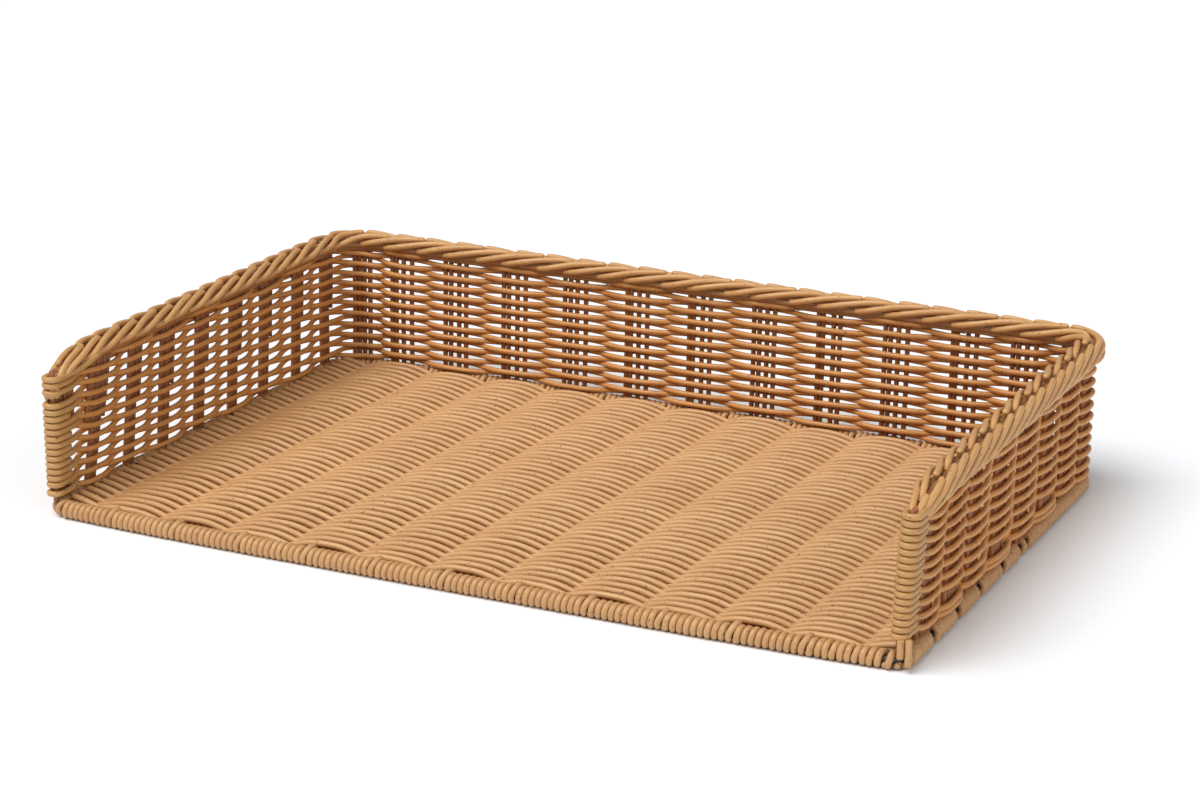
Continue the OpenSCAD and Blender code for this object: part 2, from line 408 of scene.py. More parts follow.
def steel_material():
    """Dull, dark drawn wire."""
    shader = Shader("core_steel")
    fibre = shader.attribute("fibre").outputs["Vector"]
    scratches = shader.noise(shader.stretched(fibre, (0.02, 3.0, 3.0)), 3.0)
    colour = shader.mix(scratches, (0.09, 0.085, 0.08, 1.0), (0.17, 0.16, 0.155, 1.0))
    shader.join(colour, shader.surface.inputs["Base Color"])
    shader.surface.inputs["Metallic"].default_value = 1.0
    shader.join(shader.span(scratches, 0.3, 0.7, 0.5, 0.7), shader.surface.inputs["Roughness"])
    shader.bump(scratches, 0.2, 0.0001)
    return shader.material


def opaque(red, green, blue):
    """A colour in the form that a material takes."""
    return (red, green, blue, 1.0)


DEEP = opaque(0.40, 0.175, 0.060)  # of the streaks
AT_POSTS = opaque(0.54, 0.30, 0.105), opaque(0.49, 0.26, 0.086)
border_look = strand_material("border_strand", opaque(0.58, 0.335, 0.143), opaque(0.52, 0.28, 0.115), DEEP)
rim_look = strand_material("rim_strand", opaque(0.64, 0.36, 0.135), opaque(0.58, 0.30, 0.110), DEEP)
# The wall's strands are the same plastic as the base's, coloured a deeper, redder orange: painted warm bounce
# light and shade on the walls.
wall_warm_shade_look = strand_material(
    "wall_strand", opaque(0.65, 0.30, 0.084), opaque(0.60, 0.26, 0.068), DEEP, AT_POSTS
)
base_look = strand_material("base_strand", opaque(0.66, 0.385, 0.165), opaque(0.59, 0.315, 0.130), DEEP)
# The rods are the strands' tan coloured much darker: painted shade where they show in the gaps of the weave.
rod_shade_look = strand_material(
    "rod", opaque(0.36, 0.135, 0.042), opaque(0.31, 0.11, 0.034), opaque(0.20, 0.065, 0.02)
)
# The rim's hidden filler strands are the rim's tan coloured darker: painted shade inside the rim, seen
# through its gaps.
rim_core_shade_look = strand_material("rim_core_painted_shade", opaque(0.42, 0.20, 0.070), opaque(0.36, 0.16, 0.055), DEEP)
post_look = strand_material("post_strand", *AT_POSTS, DEEP)
steel_look = steel_material()


# ---- wall strands and post wraps ----

FLAT = 6.5  # a strand lies straight this far on each side of a group's middle
SAMPLE = 2.8  # between the points of a wall strand
WALL_R = 1.95  # the wall's strands are a little thinner than the border's
WRAP_R = 2.15  # and grow to this round the posts
WALL_REACH = ROD / 2 + WALL_R
PAIRS = 11  # of strands in the wall
SLACK = 2  # the strand of this number hangs low along the right wall, which leaves larger openings over it
SLACK_DROP = 4.2  # by this much
SIDE_END = TOTAL - SIDE_L  # the left wall starts here
UNDER_RIM_Z = 91.0  # one more strand outside the left wall, close under its rim
TOP_LIFT = 0.4  # the two highest strands rise this much more each, into the rim

# Heights of two of the strands at the places of wall_stations: the right post and wall, the corner and the
# back, then the other corner, wall and post. The strands below and between them are evenly spaced.
LOWEST_Z = BORDER + WALL_R
MIDDLE_NUMBER, UPPER_NUMBER = 10, 20
MIDDLE_Z = np.array(
    [54, 53.3, *[54.9] * 7, 54.4, *[53.9] * 11]
    + [55.5, 57, 57.7, 57, 55, 54.1, 52.8, 52.2, 52, 52]
)
UPPER_Z = np.array(
    [92, 88.7, *[96.4] * 7, 94.5, *[92.7] * 11]
    + [94.5, 96, 96.2, 96.1, 93.4, 93.1, 91.9, 90, 89, 91]
)

WRAP_TAIL = 9.0  # a wrap's ends lie this far along the wall
RIGHT_WRAPS = 18  # on the right post, folds included
RIGHT_WRAP_LOW = 22.4  # height of its lowest
RIGHT_WRAP_PITCH = 4.41
RIGHT_FOLDS = [0, 1, 3, 5, 7, 8, 10, 12, 14, 15, 17]  # which wraps of the right post are pairs folding back

LEFT_FOOT_Z = 16.4  # the lowest fold on the left post
LEFT_WRAP_LOW = 22.5  # the lowest of the close wraps over it
LEFT_WRAP_PITCH = 4.53
LEFT_FOLDS = [0, 2, 4, 6, 8, 9, 11, 12]  # which of the close wraps are pairs folding back
LEFT_WRAPS = [1, 3, 5, 7, 10]  # and which are separate
LEFT_GAP_Z = 81.2  # where a wrap is missing, so that the rods show
LEFT_TOP_FOLDS_Z = [85.5, 90.6]  # the highest two folds
LEFT_TOP_WRAP_Z = 95.0
TOP_WRAP_BACK = np.array([38, 32, 25, 17, 9])  # how far behind the post its cut end passes
TOP_WRAP_RISE = np.array([7.5, 6.0, 3.6, 1.4, 0.3])  # and how far over the wrap


def right_wrap_z(i):
    """Height of a wrap of the right post."""
    return RIGHT_WRAP_LOW + i * RIGHT_WRAP_PITCH


def left_wrap_z(i):
    """Height of one of the close wraps of the left post."""
    return LEFT_WRAP_LOW + i * LEFT_WRAP_PITCH


# One fold for each pair on each post, from the lowest up, and the separate wraps between them.
RIGHT_FOLDS_Z = [right_wrap_z(i) for i in RIGHT_FOLDS]
RIGHT_WRAPS_Z = [right_wrap_z(i) for i in range(RIGHT_WRAPS) if i not in RIGHT_FOLDS]
LEFT_FOLDS_Z = [LEFT_FOOT_Z, *[left_wrap_z(i) for i in LEFT_FOLDS], *LEFT_TOP_FOLDS_Z]
LEFT_WRAPS_Z = [left_wrap_z(i) for i in LEFT_WRAPS]


def strand_height(number, s, stations):
    """Height of a wall strand, numbered from the lowest, at the distances s."""
    middle = np.interp(s, stations, MIDDLE_Z)
    upper = np.interp(s, stations, UPPER_Z)
    if number < MIDDLE_NUMBER:
        return LOWEST_Z + (middle - LOWEST_Z) * number / MIDDLE_NUMBER
    share = (number - MIDDLE_NUMBER) / (UPPER_NUMBER - MIDDLE_NUMBER)
    lift = TOP_LIFT * max(0, number - UPPER_NUMBER + 1)
    return middle + (upper - middle) * share + lift


def post_reach(z):
    """How far a wrap reaches from a post's middle. The posts are a little thicker towards the top."""
    return REACH + 0.7 * smooth((z - 20) / 60)


def fold(s_post, toward, z):
    """Half turn round a post's front rod, from inside to outside.

    toward is -1 at the right post and +1 at the left, as in the functions below.
    """
    reach = post_reach(z)
    angle = HALF_TURN - np.linspace(0, HALF_TURN, 9)[1:-1]
    return on_wall(s_post + toward * (POST_STEP + reach * np.sin(angle)), reach * np.cos(angle), z)


def beside_post(s_post, toward, side, z):
    """One point beside a post's front rod, outside it where side is 1 and inside where it is -1."""
    return on_wall([s_post + toward * POST_STEP], side * post_reach(z), z)


def wall_line(number, starts_out, z_right, z_left, rng):
    """A wall strand's course from post to post, which meets its folds at the heights z_right and z_left."""
    s = np.arange(0, TOTAL + SAMPLE / 2, SAMPLE)
    s = s * TOTAL / s[-1]
    stations = wall_stations(strand_height(number, TOTAL / 2, wall_stations(LEAN_FROM)))
    z = strand_height(number, s, stations)
    if number == SLACK:
        z -= SLACK_DROP * smooth((SIDE_L - s) / 60) * smooth((s - 12) / 30)
    z += (z_right - z) * smooth(1 - (s - 4) / (stations[1] - 8))
    z += (z_left - z) * smooth(1 - (TOTAL - s - 4) / (TOTAL - stations[-2] - 8))
    out = woven(s, stations, starts_out, FLAT, WALL_REACH)
    z += wander(s, 0.3, 170, rng)
    near_post = smooth(1 - (np.minimum(s, TOTAL - s) - 4) / 16)
    out *= 1 + near_post * (post_reach(z) / WALL_REACH - 1)
    out += wander(s, 0.2, 90, rng) * (1 - near_post)
    return on_wall(s, out, z)


def wall_strand(number, rng):
    """A wall strand, numbered from the lowest. Even ones fold round the right post, odd ones the left."""
    even = number % 2 == 0
    z_right, z_left = RIGHT_FOLDS_Z[number // 2], LEFT_FOLDS_Z[number // 2]
    line = wall_line(number, even, z_right, z_left, rng)
    inside_right = beside_post(0, -1, -1, z_right)
    outside_left = beside_post(TOTAL, 1, 1, z_left)
    if even:
        outside_right = beside_post(0, -1, 1, z_right)
        return np.vstack([inside_right, fold(0, -1, z_right), outside_right, line, outside_left])
    inside_left = beside_post(TOTAL, 1, -1, z_left)
    return np.vstack([inside_right, line, inside_left, fold(TOTAL, 1, z_left), outside_left])


def thickness(line):
    """Radius along a wall strand: thinner in the wall than round the posts."""
    from_post = line[:, 1] - POST_Y
    return WRAP_R + (WALL_R - WRAP_R) * smooth((from_post - 5) / 30)


def make_wall_rows():
    """All the wall's strands, and one more outside the left wall."""
    weave = Weave(sides=8, seed=11)
    for number in range(2 * PAIRS):
        line = wall_strand(number, weave.rng)
        weave.add(line, thickness(line))
    walls = ["wall_rows_back", "wall_rows_left", "wall_rows_right", "corner_rows_left", "corner_rows_right"]
    s = np.arange(SIDE_END, TOTAL - 12, 6.0)
    weave.add(on_wall(s, WALL_REACH + wander(s, 0.5, 60, weave.rng), UNDER_RIM_Z))
    weave.piece("wall_strands", wall_warm_shade_look, "wall_strand", *walls)


def post_wrap(s_post, toward, z, tail_in=WRAP_TAIL):
    """A separate wrap round a post, from tail_in along its inner side, round the front and back outside."""
    side_in = s_post - toward * np.array([tail_in, tail_in - 2.2, 4, 0])
    side_out = s_post - toward * np.array([0, 4, WRAP_TAIL - 2.2, WRAP_TAIL])
    tuck = post_reach(z) * np.array([0.62, 0.93, 1, 1])
    return np.vstack(
        [
            on_wall(side_in, -tuck, z),
            beside_post(s_post, toward, -1, z),
            fold(s_post, toward, z),
            beside_post(s_post, toward, 1, z),
            on_wall(side_out, tuck[::-1], z),
        ]
    )


def top_wrap_left():
    """The left post's top wrap, whose cut end runs back and up under the rim."""
    line = post_wrap(TOTAL, 1, LEFT_TOP_WRAP_Z)
    inwards = REACH + 1.2 + 4.0 * smooth((TOP_WRAP_BACK - 8) / 26)
    end = on_wall(TOTAL - TOP_WRAP_BACK, -inwards, LEFT_TOP_WRAP_Z + TOP_WRAP_RISE)
    return np.vstack([end, line[2:]])


def gap_strand_left():
    """The end of a strand outside the left post, where a wrap is missing."""
    back = np.array([20, 12, 4, 0, -POST_STEP])
    return on_wall(TOTAL - back, REACH + np.array([-1, 0, 0.6, 0.6, 0.6]), LEFT_GAP_Z)


def make_post_wraps():
    """The separate wraps between the folds of the wall's strands, on both posts."""
    right = Weave(sides=10, seed=12)
    for z in RIGHT_WRAPS_Z:
        right.add(post_wrap(0, -1, z), WRAP_R, end="round")
    right.piece("post_turns_right", post_look, "wall_strand", "post_wraps_right")
    left = Weave(sides=10, seed=13)
    for z in LEFT_WRAPS_Z:
        left.add(post_wrap(TOTAL, 1, z, tail_in=8 + left.rng.uniform(0, 1.5)), WRAP_R)
    left.add(top_wrap_left())
    left.add(gap_strand_left())
    left.piece("post_turns_left", post_look, "wall_strand", "post_wraps_left")


# ---- rods and the core ring ----

BACK_OFFSETS = (-8.8, -2.5, 4.2, 8.3)  # the rods of a group, from its middle
RIGHT_OFFSETS = (-9.5, -3.0, 2.2, 8.6)
LEFT_OFFSETS = (-5.9, -1.95, 1.95, 5.9)  # of the corners' groups too
SHORT_ROD_FOOT = 54.0  # the left wall's short rods start here
POST_RODS = ((9.0, ROD_FOOT), (13.0, 60.0), (17.0, 60.0))  # rods behind the left post: distance, lower end


def upright(group, offset, low, rng):
    """A rod of a wall group, numbered along the path, which leans with the group."""
    z = np.linspace(low, ROD_TOP, 9)
    place = np.array([wall_stations(height)[group] for height in z]) + offset + rng.uniform(-0.7, 0.7)
    bend = rng.uniform(-0.4, 0.4, 2)
    belly = np.sin(HALF_TURN * (z - low) / (ROD_TOP - low))
    return on_wall(place + bend[0] * belly, bend[1] * belly, z)


def upright_groups(name, node, groups, offsets, seed, some_short=False):
    """The rods of some of the wall's groups. With some_short, each group's first rod starts at mid-height.

    The last group then has two more short rods beside it.
    """
    weave = Weave(sides=8, seed=seed)
    for group in groups:
        for i, offset in enumerate(offsets):
            low = SHORT_ROD_FOOT if some_short and i == 0 else ROD_FOOT
            weave.add(upright(group, offset, low, weave.rng), ROD / 2)
    if some_short:
        for offset in (offsets[-1] + ROD, offsets[-1] + 2 * ROD):
            weave.add(upright(groups[-1], offset, SHORT_ROD_FOOT, weave.rng), ROD / 2)
    weave.piece(name, rod_shade_look, "rod", node)


def make_wall_rods():
    """The walls' groups of rods, in the order of wall_stations."""
    side_n, back_n = len(STAKES_Y), len(STAKES_X)
    corner = side_n + 1
    far_corner = corner + back_n + 1
    upright_groups("uprights_right", "wall_rods_right", range(1, corner), RIGHT_OFFSETS, 21)
    upright_groups("uprights_corner_right", "corner_rods_right", [corner], LEFT_OFFSETS, 22)
    upright_groups("uprights_back", "wall_rods_back", range(corner + 1, far_corner), BACK_OFFSETS, 23)
    upright_groups("uprights_corner_left", "corner_rods_left", [far_corner], LEFT_OFFSETS, 24)
    left = range(far_corner + 1, far_corner + 1 + side_n)
    upright_groups("uprights_left", "wall_rods_left", left, LEFT_OFFSETS, 25, some_short=True)


def make_post_rods(name, side):
    """A front post's three rods, and the short ones close behind the left post."""
    post = Weave(sides=8, seed=28 + side)
    z = np.linspace(ROD_FOOT, WALL_TOP, 9)
    for i in (-1, 0, 1):
        x = np.full_like(z, side * WALL_X + post.rng.uniform(-0.2, 0.2))
        if side > 0:
            x -= lean_in(0, z)
        post.add(np.column_stack([x, np.full_like(z, POST_Y + i * POST_STEP), z]), ROD / 2)
    if side < 0:
        for back, low in POST_RODS:
            post.add(on_wall(np.full(5, TOTAL - back), 0.0, np.linspace(low, WALL_TOP, 5)), ROD / 2)
    post.piece("uprights_post_" + name, rod_shade_look, "rod", "post_rods_" + name)


DRIFT_AT = (-275, 0, 150, 275)  # places across the base
BASE_DRIFT = (9, 5, 2.5, -7)  # how far to the right its groups stand from their even places there
BASE_DROP = 2.0  # the base lies this much lower than its plain rods


def base_x(x):
    """Place across the base, with the groups as unevenly spaced as they were set by hand."""
    return x + np.interp(x, DRIFT_AT, BASE_DRIFT)


def make_base_rods():
    """The groups of four rods under the base's strands, from front to back."""
    weave = Weave(sides=8, seed=31)
    y = np.linspace(base_low[1], base_high[1], 30)
    for x in STAKES_X:
        for i in range(4):
            across = base_x(x) + (i - 1.5) * ROD_STEP + wander(y, 0.15, 140, weave.rng)
            weave.add(np.column_stack([across, y, np.full_like(y, BASE_Z - BASE_DROP)]), ROD / 2)
    weave.piece("base_rod_groups", rod_shade_look, "rod", "base_rods")


def make_core():
    """The ring the border is wrapped round, closed on itself."""
    weave = Weave(sides=12, seed=32)
    u = np.linspace(0, RING, 500)
    point, _ = ring_frame(u)
    weave.add(np.column_stack([point, np.full_like(u, BORDER_Z)]), ROD / 2)
    weave.piece("core_wire", steel_look, "core_metal", "core_ring")


# ---- the base ----

BASE_STRANDS = 2 * BASE_ROWS + 1
BASE_SAMPLES = 138
BASE_FLAT = 4.0  # a base strand lies level this far on each side of a group's middle
BASE_SLIDE = 0.4  # the first base strand lies this far before the plain rows' front edge
FRONT_BOW = 4.5  # the middle of the front edge stands this far forward of its ends
BOWED_STRANDS = 24  # the bow fades out over this many base strands


def bow(share):
    """How far forward the front edge bows, at a share of the way from its middle to its ends."""
    return FRONT_BOW * (1 - np.clip(share, 0, 1) ** 4)


def base_strand(number, rng):
    """A base strand, which arches over one group of rods and dips under the next."""
    stations = np.array([-WALL_X - 1, *base_x(STAKES_X), WALL_X + 1])
    x = np.linspace(-BASE_X, BASE_X, BASE_SAMPLES)
    up = woven(x, stations, number % 2 == 1, BASE_FLAT, REACH)
    y = rows_low[1] - BASE_SLIDE + number * BASE_PITCH / 2 + wander(x, 0.2, 150, rng)
    y = y - bow(np.abs(x) / BASE_X) * smooth(1 - number / BOWED_STRANDS)
    z = BASE_Z - BASE_DROP + up + wander(x, 0.15, 120, rng)
    return np.column_stack([x, y, z])


def make_base_rows():
    """All the base's strands."""
    weave = Weave(sides=8, seed=41)
    for number in range(BASE_STRANDS):
        weave.add(base_strand(number, weave.rng))
    weave.piece("base_strands", base_look, "base_strand", "base_rows")


# ---- the border ----

FRONT_L = 2 * (WALL_X - FRONT_R)
FRONT_CORNER_L = FRONT_R * QUARTER
BORDER_SIDE_L = SIDE_BACK - SIDE_FRONT
RING = FRONT_L + 2 * (FRONT_CORNER_L + BORDER_SIDE_L + CORNER_L + BACK_X)
WRAP_PITCH = 4.5  # between the turns of a winding
TURN_POINTS = 14
WRAP_JITTER = (-0.12, 0.22)  # how far a turn stands off the core, least and most
WRAP_START = -60  # in degrees up from the border's outer side
WRAP_GAP = 0.9  # between the windings of the front and back borders
FRONT_GAP_LEFT = 5.5  # each winding of the front border ends this far left of a group's middle
SIDE_GAP = 9.0  # the side borders' windings leave this much open
SIDE_GAPS_Y = (-150, -105, -62, -16, 22, 35)  # at these places from front to back
TALL_RISE, TALL_IN, TALL_ALONG = 1.5, 2.6, 1.8  # how far a tall turn leaves the others: up, inwards, along
CUT_ENDS = ((-0.3, -4.4, 9.5), (4.2, -3.0, 5.0))  # right of the post, behind the front core, and lower end
CUT_END_TOP = 21.0

# Distances round the border from the middle of its front: the ends of the front, a front corner, a side and a
# back corner, on the right.
FRONT_END, CORNER_END, SIDE_BORDER_END, BACK_START = np.cumsum(
    [FRONT_L / 2, FRONT_CORNER_L, BORDER_SIDE_L, CORNER_L]
)
FOOT_WRAPS = ((FRONT_END + 0.6, FRONT_END + 5.1), (CORNER_END - 4.6, CORNER_END - 0.2))


def ring_frame(u):
    """Plan point and outward direction on the border, from the middle of the front and to the right."""
    u = np.mod(np.asarray(u, float), RING)
    side = np.where(u > RING / 2, -1.0, 1.0)
    v = np.minimum(u, RING - u)
    front_turn = np.clip((v - FRONT_END) / FRONT_R, 0, QUARTER)
    back_turn = np.clip((v - SIDE_BORDER_END) / BACK_R, 0, QUARTER)
    x = np.minimum(v, FRONT_END) + FRONT_R * np.sin(front_turn)
    x = x - BACK_R * (1 - np.cos(back_turn)) - np.clip(v - BACK_START, 0, None)
    y = FRONT_Y + FRONT_R * (1 - np.cos(front_turn)) + np.clip(v - CORNER_END, 0, BORDER_SIDE_L)
    y = y + BACK_R * np.sin(back_turn) - bow(v / FRONT_END)
    heading = front_turn + back_turn
    return np.stack([x * side, y], -1), np.stack([np.sin(heading) * side, -np.cos(heading)], -1)


def whipping(u0, u1, rng, tall=False):
    """A strand wound round the core from u0 to u1. With tall, its last turn reaches over the base."""
    turns = max(1, round((u1 - u0) / WRAP_PITCH))
    turn = np.linspace(0, turns, turns * TURN_POINTS + 1)
    u = u0 + (u1 - u0) * turn / turns
    angle = FULL_TURN * turn + math.radians(WRAP_START)
    number = np.floor(turn + WRAP_START / 360)
    jitter = np.interp(turn, np.arange(turns + 1), rng.uniform(*WRAP_JITTER, turns + 1))
    reach = REACH - R * 0.02 + jitter
    point, outward = ring_frame(u + 0.25 * np.sin(number * 2.4))
    rise = reach * np.sin(angle)
    out = reach * np.cos(angle)
    if tall:
        last = smooth((turn - (turns - 0.95)) / 0.25) * smooth((turns - 0.02 - turn) / 0.25)
        rise = rise + last * TALL_RISE * np.clip(np.sin(angle), 0, 1)
        out = out - last * TALL_IN * np.clip(np.sin(angle - 0.5), 0, 1)
        point, outward = ring_frame(u + last * TALL_ALONG * np.clip(np.sin(angle), 0, 1))
    on_floor = R + 0.02 - BORDER_Z
    rise = np.maximum(rise, on_floor)
    return np.column_stack([point + outward * out[:, None], BORDER_Z + rise])


def border_piece(weave, name, node):
    """Makes one piece of the border, in place of its CAD node."""
    weave.piece("border_turns_" + name, border_look, "border_strand", "border_" + node)


def make_front_border():
    """A winding up to each group of the base's rods, with a tall last turn, then one to the right corner."""
    weave = Weave(sides=10, seed=51)
    edges = [-FRONT_END, *(base_x(STAKES_X) - FRONT_GAP_LEFT), FRONT_END - 0.5]
    for a, b in zip(edges[:-1], edges[1:]):
        line = whipping(a, b - WRAP_GAP, weave.rng, tall=b < FRONT_END - 1)
        weave.add(line, start="round", end="round")
    border_piece(weave, "front", "wrap_front")


def make_side_border(name, a, b, places):
    """The windings of one side, which stop on both sides of each of the places."""
    weave = Weave(sides=8, seed=52)
    edges = [a - SIDE_GAP / 2, *places, b + SIDE_GAP / 2]
    for u0, u1 in zip(edges[:-1], edges[1:]):
        line = whipping(u0 + SIDE_GAP / 2, u1 - SIDE_GAP / 2, weave.rng)
        weave.add(line, start="round", end="round")
    border_piece(weave, name, "wrap_" + name)


def make_back_border():
    """Equal windings, about as long as the back wall's groups are apart."""
    weave = Weave(sides=8, seed=53)
    count = round((RING - 2 * BACK_START) / (STAKES_X[1] - STAKES_X[0]))
    edges = np.linspace(BACK_START, RING - BACK_START, count + 1)
    for a, b in zip(edges[:-1], edges[1:]):
        weave.add(whipping(a, b - WRAP_GAP, weave.rng), start="round", end="round")
    border_piece(weave, "back", "wrap_back")


def make_corner_border(name, sides, seed, u0, u1):
    """One winding round a corner."""
    weave = Weave(sides=sides, seed=seed)
    weave.add(whipping(u0, u1, weave.rng), start="round", end="round")
    border_piece(weave, name, "corner_" + name)


def make_front_right_corner():
    """The right front corner: a wrap, two cut strand ends down the post's foot, then another wrap."""
    weave = Weave(sides=10, seed=56)
    first, last = FOOT_WRAPS
    weave.add(whipping(*first, weave.rng), start="round", end="round")
    for x, y, low in CUT_ENDS:
        z = np.linspace(low, CUT_END_TOP, 6)
        weave.add(np.column_stack([np.full_like(z, WALL_X + x), np.full_like(z, FRONT_Y + y), z]))
    weave.add(whipping(*last, weave.rng), start="round", end="round")
    border_piece(weave, "front_right", "corner_front_right")


def make_border():
    """The whole border: the front, the sides, the back and the four corners."""
    gaps = CORNER_END + np.array(SIDE_GAPS_Y) - SIDE_FRONT
    make_front_border()
    make_side_border("right", CORNER_END, SIDE_BORDER_END, gaps)
    make_side_border("left", RING - SIDE_BORDER_END, RING - CORNER_END, (RING - gaps)[::-1])
    make_back_border()
    make_corner_border("back_right", 8, 54, SIDE_BORDER_END, BACK_START - 0.2)
    make_corner_border("back_left", 8, 54, RING - BACK_START, RING - SIDE_BORDER_END - 0.2)
    make_corner_border("front_left", 10, 55, RING - CORNER_END, RING - FRONT_END - 0.1)
    make_front_right_corner()


# ---- the rolled rim ----

# Angles are up from the rim's outer side, and lengths are along the rim.
OUTER_FROM = math.radians(-62)
OUTER_TO = math.radians(58)
OUTER_L = 75.0
INNER_FROM = math.radians(90)
INNER_TO = math.radians(172)
INNER_L = 54.0
TURN_END = 20.0  # the rim starts to turn down this far behind each post
TURN_LONG, TURN_TALL = 22.0, 12.0  # along a quarter of an ellipse of this size
TURN_L = QUARTER * math.hypot(TURN_LONG, TURN_TALL) / math.sqrt(2)
RIM_LIFT = 1.3  # the rim stands this much higher than its plain outline
END_DROP = 4.2  # but its ends at the posts lie this much lower
END_A, END_B = 3.6, 4.6  # half the rim's width and height at the posts, to the middle of its strands
SIDE_RIM_PITCH = 22  # between the crests of its outer strands
BACK_RIM_PITCH = 25
OUTER_MIDDLE = 45.0  # an outer strand belongs to the part of the rim this far before its crest
INNER_MIDDLE = 35.0  # and an inner strand to the part this far after it
HOOK_AHEAD = 4.0  # a hooked inner strand starts this much further on
FEWEST_POINTS = 5  # a strand of fewer points at an end of the rim is left out
FILLER_SHARE = 0.42  # how far from the rim's middle its hidden strands run
FILLER_SAMPLE = 6.0


def rim_point(s, angle, share=1.0):
    """A point on the rim: s along it, angle up from its outer side, share of its full half width."""
    u, side = right_half(s)
    bend = np.clip((TURN_END - u) / TURN_L, 0, 1) * QUARTER
    plan = np.where(u < TURN_END, TURN_END - TURN_LONG * np.sin(bend), u)
    past = np.clip(TURN_END - TURN_L - u, 0, None)
    slope = np.arctan2(TURN_TALL * np.sin(bend), TURN_LONG * np.cos(bend))
    point, outward = wall_frame(np.where(side > 0, plan, TOTAL - plan))
    wide = END_A + (RIM_A - END_A) * smooth((u + 6) / 40)
    tall = END_B + (RIM_B - END_B) * smooth((u + 8) / 34)
    across = share * wide * np.cos(angle)
    up = share * tall * np.sin(angle)
    x = point[..., 0] + outward[..., 0] * across
    y = point[..., 1] + outward[..., 1] * across - up * np.sin(slope)
    lift = RIM_LIFT * smooth((u - 10) / 60) - END_DROP * smooth(1 - u / 45)
    z = RIM_Z + lift - TURN_TALL * (1 - np.cos(bend)) - past + up * np.cos(slope)
    return np.stack([x, y, z], -1)


def on_rim(s):
    """Which of the distances are on the rim, its turned-down ends included."""
    end = TURN_L - TURN_END + 2
    return (s > -end) & (s < TOTAL + end)


def rim_places():
    """Where the rim's outer strands come over the crest."""
    places = [-8.0]
    while places[-1] < TOTAL + 90:
        u = min(places[-1], TOTAL - places[-1])
        places.append(places[-1] + (SIDE_RIM_PITCH if u < SIDE_L else BACK_RIM_PITCH))
    return places


def outer_strand(crest, rng):
    """An outer strand, from along the rim's lower edge up to a rounded end at its crest."""
    t = np.linspace(0, 1, 48)
    s = crest - OUTER_L * (1 - t) + rng.uniform(-1.2, 1.2)
    angle = OUTER_FROM + (OUTER_TO - OUTER_FROM) * (1.45 * t - 0.45 * t * t)
    share = 0.72 + 0.28 * smooth(t / 0.2)
    share = share + 0.16 * smooth((t - 0.45) / 0.45) - 0.05 * smooth((t - 0.94) / 0.08)
    angle = angle + rng.uniform(-0.05, 0.05)
    return rim_point(s, angle, share)[on_rim(s)]


def inner_strand(crest, hooked, rng):
    """An inner strand, which rises out of the groove along the crest and slants down the rim's inner face.

    A hooked one starts in a rounded end that stands proud, and ends short.
    """
    t = np.linspace(0, 1, 40)
    s = crest + INNER_L * (t * (0.94 if hooked else 1.08)) + rng.uniform(-1.0, 1.0)
    angle = INNER_FROM + (INNER_TO - INNER_FROM) * (0.35 * t + 0.65 * smooth(t * 0.92))
    share = 1.02 + 0.03 * np.sin(HALF_TURN * t)
    share = share - 0.5 * smooth((t - 0.74) / 0.26)
    if hooked:
        share = share + 0.08 * smooth(1 - t / 0.25)
    else:
        share = share - 0.55 * smooth(1 - t / 0.16)
    angle = angle + rng.uniform(-0.05, 0.05)
    return rim_point(s, angle, share)[on_rim(s)]


def filler_strand(angle, share, rng):
    """A hidden strand along the whole rim, which wavers a little round it."""
    s = np.arange(-2, TOTAL + 2, FILLER_SAMPLE)
    return rim_point(s, angle + 0.12 * np.sin(s / 70 + rng.uniform(0, 6)), share)


def rim_section(s):
    """Which part of the rim distance s is in."""
    u, side = right_half(s)
    name = "right" if side > 0 else "left"
    if u < SIDE_L:
        return name
    return "corner_" + name if u < SIDE_L + CORNER_L else "back"


RIM_NODES = {
    "right": ["rim_right", "rim_end_right"],
    "corner_right": ["rim_corner_right"],
    "back": ["rim_back"],
    "corner_left": ["rim_corner_left"],
    "left": ["rim_left", "rim_end_left"],
}


def make_rim():
    """Outer and inner strands in turn, every second inner one hooked."""
    weaves = {name: Weave(sides=10, seed=61 + i) for i, name in enumerate(RIM_NODES)}
    for i, crest in enumerate(rim_places()):
        weave = weaves[rim_section(np.clip(crest - OUTER_MIDDLE, 0, TOTAL))]
        line = outer_strand(crest, weave.rng)
        if len(line) >= FEWEST_POINTS:
            weave.add(line, end="round")
        hooked = i % 2 == 0
        weave = weaves[rim_section(np.clip(crest + INNER_MIDDLE, 0, TOTAL))]
        line = inner_strand(crest + HOOK_AHEAD * hooked, hooked, weave.rng)
        if len(line) >= FEWEST_POINTS:
            weave.add(line, start="round" if hooked else "cut")
    for name, weave in weaves.items():
        weave.piece("rim_strands_" + name, rim_look, "rim_strand", *RIM_NODES[name])


def make_rim_filler():
    """Six strands round a seventh inside the rim, which close the view through its gaps; their darker colour
    is painted shade.
    """
    filler = Weave(sides=8, seed=67)
    for i in range(6):
        filler.add(filler_strand(i * HALF_TURN / 3, FILLER_SHARE, filler.rng))
    filler.add(filler_strand(0, 0.0, filler.rng))
    filler.piece("rim_filler", rim_core_shade_look, "rim_strand", "rim_back")


# ---- the basket ----

make_wall_rows()
make_post_wraps()
make_wall_rods()
make_post_rods("right", 1)
make_post_rods("left", -1)
make_base_rods()
make_core()
make_base_rows()
make_border()
make_rim()
make_rim_filler()


# ---- floor, light and camera ----

FLOOR_HALF = 9.0  # in metres, like the camera's distances
AMBIENT = 0.31
CAMERA_AZIMUTH = math.radians(24.605)  # right of the front
CAMERA_ELEVATION = math.radians(17.233)
CAMERA_ROLL = math.radians(0.994)
CAMERA_TARGET = (0.0, -0.0015, 0.050)
CAMERA_DISTANCE = 2.08203  # from the target
CAMERA_RIGHT, CAMERA_UP = 0.008479, 0.019359  # and then this far to its right and up
CAMERA_LENS = 92.747


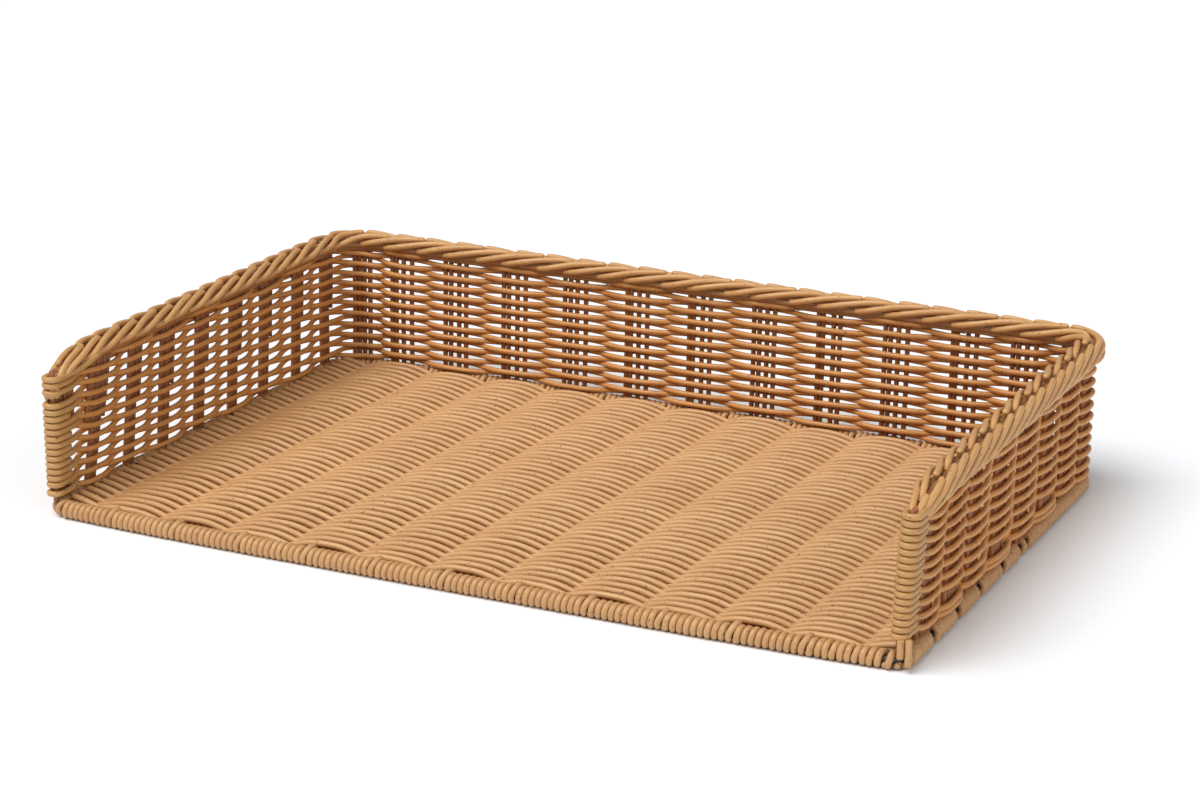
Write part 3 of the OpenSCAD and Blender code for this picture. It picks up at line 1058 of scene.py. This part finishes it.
def make_floor():
    """A wide sheet of white paper under the basket."""
    mesh = bpy.data.meshes.new("floor")
    size = FLOOR_HALF
    corners = [(-size, -size, 0), (size, -size, 0), (size, size, 0), (-size, size, 0)]
    mesh.from_pydata(corners, [], [(0, 1, 2, 3)])
    floor = bpy.data.objects.new("floor", mesh)
    bpy.context.scene.collection.objects.link(floor)
    shader = Shader("floor_paper")
    grain = shader.noise(shader.node("ShaderNodeTexCoord").outputs["Object"], 2.0)
    colour = shader.mix(grain, (0.905, 0.93, 0.955, 1.0), (0.925, 0.95, 0.975, 1.0))
    shader.join(colour, shader.surface.inputs["Base Color"])
    shader.surface.inputs["Roughness"].default_value = 0.9
    shader.surface.inputs["Specular IOR Level"].default_value = 0.1
    mesh.materials.append(shader.material)


def make_light(name, toward, power, spread):
    """A broad studio light from the direction toward, softened by its spread in degrees."""
    data = bpy.data.lights.new(name, "SUN")
    data.energy = power
    data.angle = math.radians(spread)
    light = bpy.data.objects.new(name, data)
    light.rotation_mode = "QUATERNION"
    light.rotation_quaternion = (-Vector(toward)).to_track_quat("-Z", "Y")
    bpy.context.scene.collection.objects.link(light)


def make_world():
    """A white backdrop."""
    world = bpy.data.worlds.new("studio")
    world.use_nodes = True
    background = world.node_tree.nodes["Background"]
    background.inputs["Color"].default_value = (1.0, 1.0, 1.0, 1.0)
    background.inputs["Strength"].default_value = AMBIENT
    bpy.context.scene.world = world
    bpy.context.scene.view_settings.view_transform = "Standard"


def make_camera():
    """The studio camera, right of the front and a little above."""
    right = Vector((math.cos(CAMERA_AZIMUTH), math.sin(CAMERA_AZIMUTH), 0.0))
    level = Vector((math.sin(CAMERA_AZIMUTH), -math.cos(CAMERA_AZIMUTH), 0.0))
    back = level * math.cos(CAMERA_ELEVATION) + Vector((0.0, 0.0, math.sin(CAMERA_ELEVATION)))
    up = back.cross(right)
    place = Vector(CAMERA_TARGET) + back * CAMERA_DISTANCE + right * CAMERA_RIGHT + up * CAMERA_UP
    across = right * math.cos(CAMERA_ROLL) + up * math.sin(CAMERA_ROLL)
    upward = up * math.cos(CAMERA_ROLL) - right * math.sin(CAMERA_ROLL)
    data = bpy.data.cameras.new("camera")
    data.sensor_width = 36.0
    data.lens = CAMERA_LENS
    data.clip_start = 0.1
    data.clip_end = 50.0
    camera = bpy.data.objects.new("camera", data)
    turn = Matrix((across, upward, back)).transposed().to_4x4()
    camera.matrix_world = Matrix.Translation(place) @ turn
    bpy.context.scene.collection.objects.link(camera)
    bpy.context.scene.camera = camera


make_floor()
make_world()
make_light("key", toward=(-0.30, -0.50, 1.0), power=2.7, spread=48)
make_light("fill", toward=(1.0, -0.40, 0.45), power=0.80, spread=60)
make_camera()
